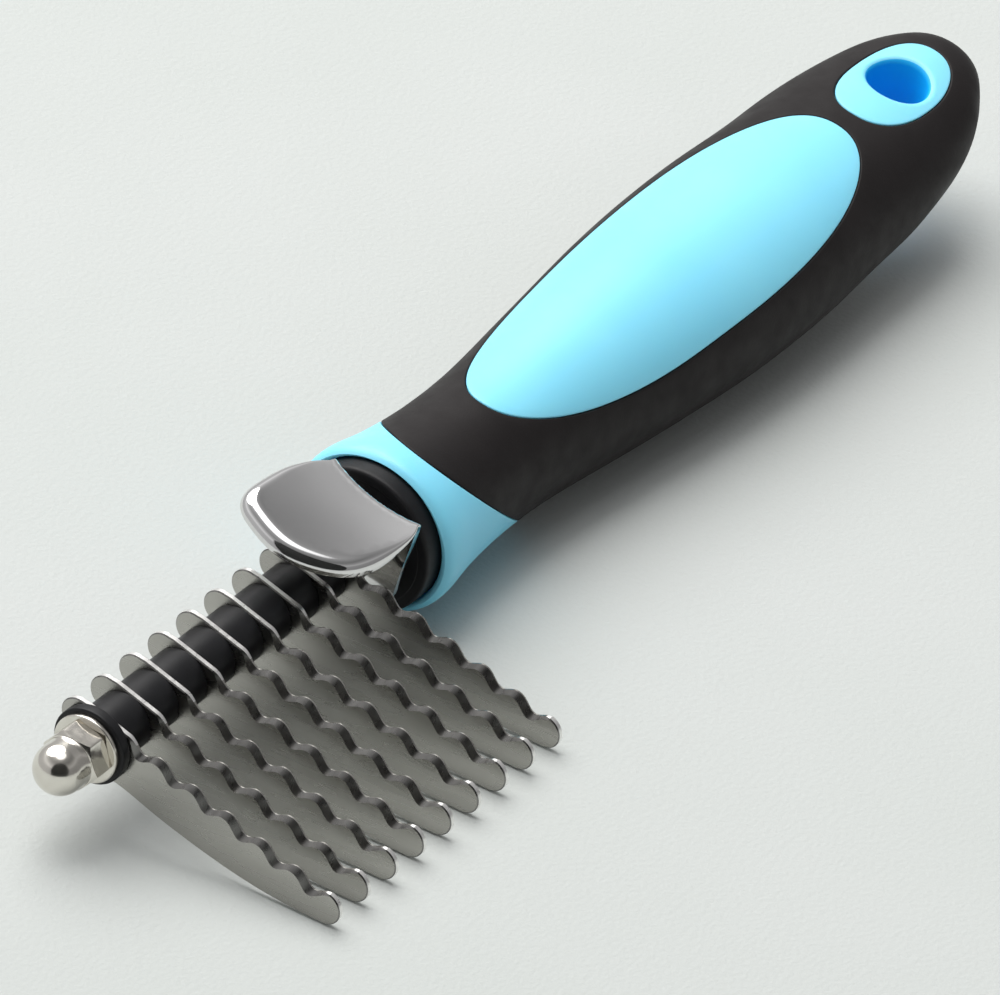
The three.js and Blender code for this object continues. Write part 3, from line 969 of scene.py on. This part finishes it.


# Deeper, darker blue for the hang hole's wall and rounded edges: painted shade of the hole's
# recess on the same blue plastic
def shaded_blue_bore():
    colors = ((0.001, 0.42, 0.92), (0.003, 0.48, 0.95))
    return surface("shaded_blue_bore", colors, 60, (0.4, 0.5, 260), (5200, 0.10, 0.00004))


def rubber():
    colors = ((0.0070, 0.0050, 0.0052), (0.0105, 0.0080, 0.0082))
    material = surface(
        "black_rubber", colors, 120, (0.5, 0.64, 300), (4200, 0.35, 0.00006)
    )
    shader_of(material).inputs["Specular IOR Level"].default_value = 0.24
    return material


def black_plastic(name, rough):
    colors = ((0.0060, 0.0060, 0.0070), (0.010, 0.010, 0.0115))
    material = surface(
        name, colors, 300, (rough, rough + 0.12, 500), (3800, 0.12, 0.00004)
    )
    shader_of(material).inputs["Specular IOR Level"].default_value = 0.26
    return material


def steel():
    colors = ((0.37, 0.36, 0.335), (0.45, 0.44, 0.41))
    return surface(
        "blade_steel", colors, 90, (0.22, 0.32, 500), (6000, 0.04, 0.00001),
        metallic=1.0, stretch=(1, 0.22, 1.6),
    )


def shaded_bevel_steel():
    """Coarsely ground steel of the faces behind the scalloped edges, its colour darkened as
    painted shade for the dark reflections on these faces.
    """
    colors = ((0.17, 0.165, 0.16), (0.25, 0.245, 0.235))
    return surface(
        "shaded_bevel_steel", colors, 250, (0.24, 0.34, 700), (7000, 0.06, 0.00001),
        metallic=1.0, stretch=(1, 3.0, 1),
    )


def highlight_edge_steel():
    """Ground steel of the blades' thin outer edges, its colour lightened as a painted highlight
    along them.
    """
    colors = ((0.78, 0.77, 0.75), (0.88, 0.87, 0.85))
    return surface(
        "highlight_edge_steel", colors, 300, (0.26, 0.38, 700), (7000, 0.08, 0.00001),
        metallic=1.0, stretch=(1, 3.0, 1),
    )


def chrome():
    colors = ((0.70, 0.695, 0.69), (0.76, 0.755, 0.75))
    return surface(
        "thumb_chrome", colors, 70, (0.05, 0.11, 900), (900, 0.05, 0.00004),
        metallic=1.0,
    )


def nickel(name, rough):
    colors = ((0.66, 0.63, 0.57), (0.74, 0.71, 0.65))
    return surface(
        name, colors, 400, (rough, rough + 0.1, 900), (1500, 0.06, 0.00003),
        metallic=1.0,
    )


def brass():
    colors = ((0.58, 0.42, 0.17), (0.68, 0.52, 0.24))
    return surface(
        "anchor_brass", colors, 500, (0.28, 0.42, 900), (2400, 0.12, 0.00003),
        metallic=1.0,
    )


def floor_material():
    colors = ((0.505, 0.53, 0.515), (0.53, 0.55, 0.54))
    material = surface(
        "pale_floor", colors, 14, (0.8, 0.95, 30), (1300, 0.45, 0.00022)
    )
    shader_of(material).inputs["Specular IOR Level"].default_value = 0.1
    return material


# ------------------------------------------------------------------- assembly
def build_handle():
    # bore is the deeper blue of the hang hole, painted shade
    blue, bore, black = blue_plastic(), shaded_blue_bore(), rubber()
    core = ("handle_core",)
    piece("collar", collar_shell(), [blue], "handle", core)
    piece("thumb_panel", panel_shell(), [blue], "handle", core)
    piece("hang_eyelet", eyelet_shell(), [blue, bore], "handle", core)
    piece("grip", grip_shell(), [black], "handle", ("grip_sleeve",))
    boss = black_plastic("boss_black", 0.42)
    piece("boss", boss_shell(), [boss], "handle", ("front_boss",))
    rod = nickel("rod_steel", 0.25)
    piece("rod", rod_shell(), [rod], "handle", ("tie_rod",))
    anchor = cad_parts["rod_anchor_nut"]
    anchor.data.materials.clear()
    anchor.data.materials.append(brass())


def build_stack():
    # plain steel, steel lightened as a painted highlight, and steel darkened as painted shade
    metals = [steel(), highlight_edge_steel(), shaded_bevel_steel()]
    black = black_plastic("spacer_black", 0.36)
    first = WASHER["t"] + NOSE["t"]
    for i in range(BLADES):
        front = first + PITCH * i
        name = f"blade_{i + 1}"
        piece(f"comb_{name}", blade_shell(front), metals, "blade_stack",
              (name,), sharp=20.0)
        if i == BLADES - 1:
            break
        start, end = front + BLADE_T + GAP, front + PITCH - GAP
        ring = ring_shell(BORE_R, SPACER_R, start, end, 0.14)
        piece(f"tube_{i + 1}", ring, [black], "blade_stack",
              (f"spacer_{i + 1}",))
    stack_end = first + PITCH * (BLADES - 1) + BLADE_T
    ring = ring_shell(BORE_R, SPACER_R, stack_end + GAP, LEG_X - GAP, 0.14)
    piece("tube_rear", ring, [black], "rear_spacer", ("rear_spacer",))
    ring = ring_shell(BORE_R, NOSE["r"], WASHER["t"] + GAP, first - GAP, 0.25, 128)
    piece("nose_ring", ring, [black], "blade_stack", ("nose_disc",))


def build_hardware():
    ring = ring_shell(BORE_R, WASHER["r"], GAP, WASHER["t"], 0.22, 128)
    zinc = nickel("washer_nickel", 0.16)
    piece("plain_washer", ring, [zinc], "washer", ("washer",))
    piece("dome_nut", nut_shell(), [nickel("nut_nickel", 0.10)], "cap_nut",
          ("cap_nut",), sharp=32.0)
    piece("thumb_plate", thumb_shell(), [chrome()], "thumb_rest",
          ("thumb_rest",), sharp=50.0, twist=THUMB_TURN)


def build_floor():
    """A flat, pale floor; its weave is in the material."""
    mesh = bpy.data.meshes.new("floor")
    bm = bmesh.new()
    bmesh.ops.create_grid(bm, x_segments=FLOOR_CELLS, y_segments=FLOOR_CELLS, size=FLOOR_HALF)
    bm.to_mesh(mesh)
    bm.free()
    mesh.shade_smooth()
    floor = bpy.data.objects.new("floor", mesh)
    floor.location = (0, 0, cad_low.z - FLOOR_DROP)
    bpy.context.scene.collection.objects.link(floor)
    mesh.materials.append(floor_material())


def area_light(name, place, size, power, color=(1, 1, 1)):
    light = bpy.data.lights.new(name, "AREA")
    light.shape = "DISK"
    light.size = size
    light.energy = power
    light.color = color
    obj = bpy.data.objects.new(name, light)
    obj.location = place
    obj.rotation_euler = (-Vector(place)).to_track_quat("-Z", "Y").to_euler()
    bpy.context.scene.collection.objects.link(obj)


def build_world():
    """A grey studio in soft bands, darker on the blades' side."""
    world = bpy.data.worlds.new("studio")
    bpy.context.scene.world = world
    world.use_nodes = True
    tree = world.node_tree
    background = tree.nodes["Background"]
    coords = tree.nodes.new("ShaderNodeTexCoord")
    split = tree.nodes.new("ShaderNodeSeparateXYZ")
    ramp = tree.nodes.new("ShaderNodeValToRGB")
    while len(ramp.color_ramp.elements) < len(BANDS):
        ramp.color_ramp.elements.new(0.5)
    for element, (at, level) in zip(ramp.color_ramp.elements, BANDS):
        element.position = at
        grey = level / BAND_TOP
        element.color = (grey, grey, grey * 1.01, 1)
    tree.links.new(coords.outputs["Generated"], split.inputs["Vector"])
    tree.links.new(split.outputs["Z"], ramp.inputs["Fac"])
    tree.links.new(ramp.outputs["Color"], background.inputs["Color"])
    side = spread(tree, split.outputs["Y"], 1.68, 3.45, -0.5, 0.5)
    tree.links.new(side, background.inputs["Strength"])


def build_lights():
    area_light("key", KEY_PLACE, KEY_SIZE, KEY_POWER, KEY_COLOR)


def build_camera_card():
    """The dark camera and the person behind it, seen only in the bright metal."""
    mesh = bpy.data.meshes.new("camera_card")
    bm = bmesh.new()
    bmesh.ops.create_circle(bm, cap_ends=True, segments=48, radius=CARD_RADIUS)
    bm.to_mesh(mesh)
    bm.free()
    card = bpy.data.objects.new("camera_card", mesh)
    camera = bpy.context.scene.camera.location
    card.location = (camera.x * CARD_REACH[0], camera.y * CARD_REACH[1], CARD_HEIGHT)
    card.rotation_euler = camera.xyz.to_track_quat("Z", "Y").to_euler()
    bpy.context.scene.collection.objects.link(card)
    material = new_material("camera_black")
    shader_of(material).inputs["Base Color"].default_value = (0.01, 0.01, 0.01, 1)
    mesh.materials.append(material)
    card.visible_shadow = False
    card.visible_diffuse = False
    card.visible_camera = False


def build_camera():
    azimuth, elevation = math.radians(CAMERA_AZIMUTH), math.radians(CAMERA_ELEVATION)
    flat = math.cos(elevation)
    back = Vector(
        (math.sin(azimuth) * flat, -math.cos(azimuth) * flat, math.sin(elevation))
    )
    level = Vector((math.cos(azimuth), math.sin(azimuth), 0))
    upright = back.cross(level)
    roll = math.radians(CAMERA_ROLL)
    up = upright * math.cos(roll) + level * math.sin(roll)
    right = up.cross(back)
    data = bpy.data.cameras.new("camera")
    data.lens = CAMERA_LENS
    data.sensor_width = 36.0
    data.clip_start, data.clip_end = 0.05, 20
    camera = bpy.data.objects.new("camera", data)
    aim = TOOL @ CAMERA_AIM
    turn = Matrix((right, up, back)).transposed().to_4x4()
    camera.matrix_world = Matrix.Translation(aim + back * CAMERA_DISTANCE) @ turn
    bpy.context.scene.collection.objects.link(camera)
    bpy.context.scene.camera = camera


bpy.context.scene.view_settings.view_transform = "Standard"
build_camera()
build_handle()
build_stack()
build_hardware()
build_floor()
build_world()
build_lights()
build_camera_card()
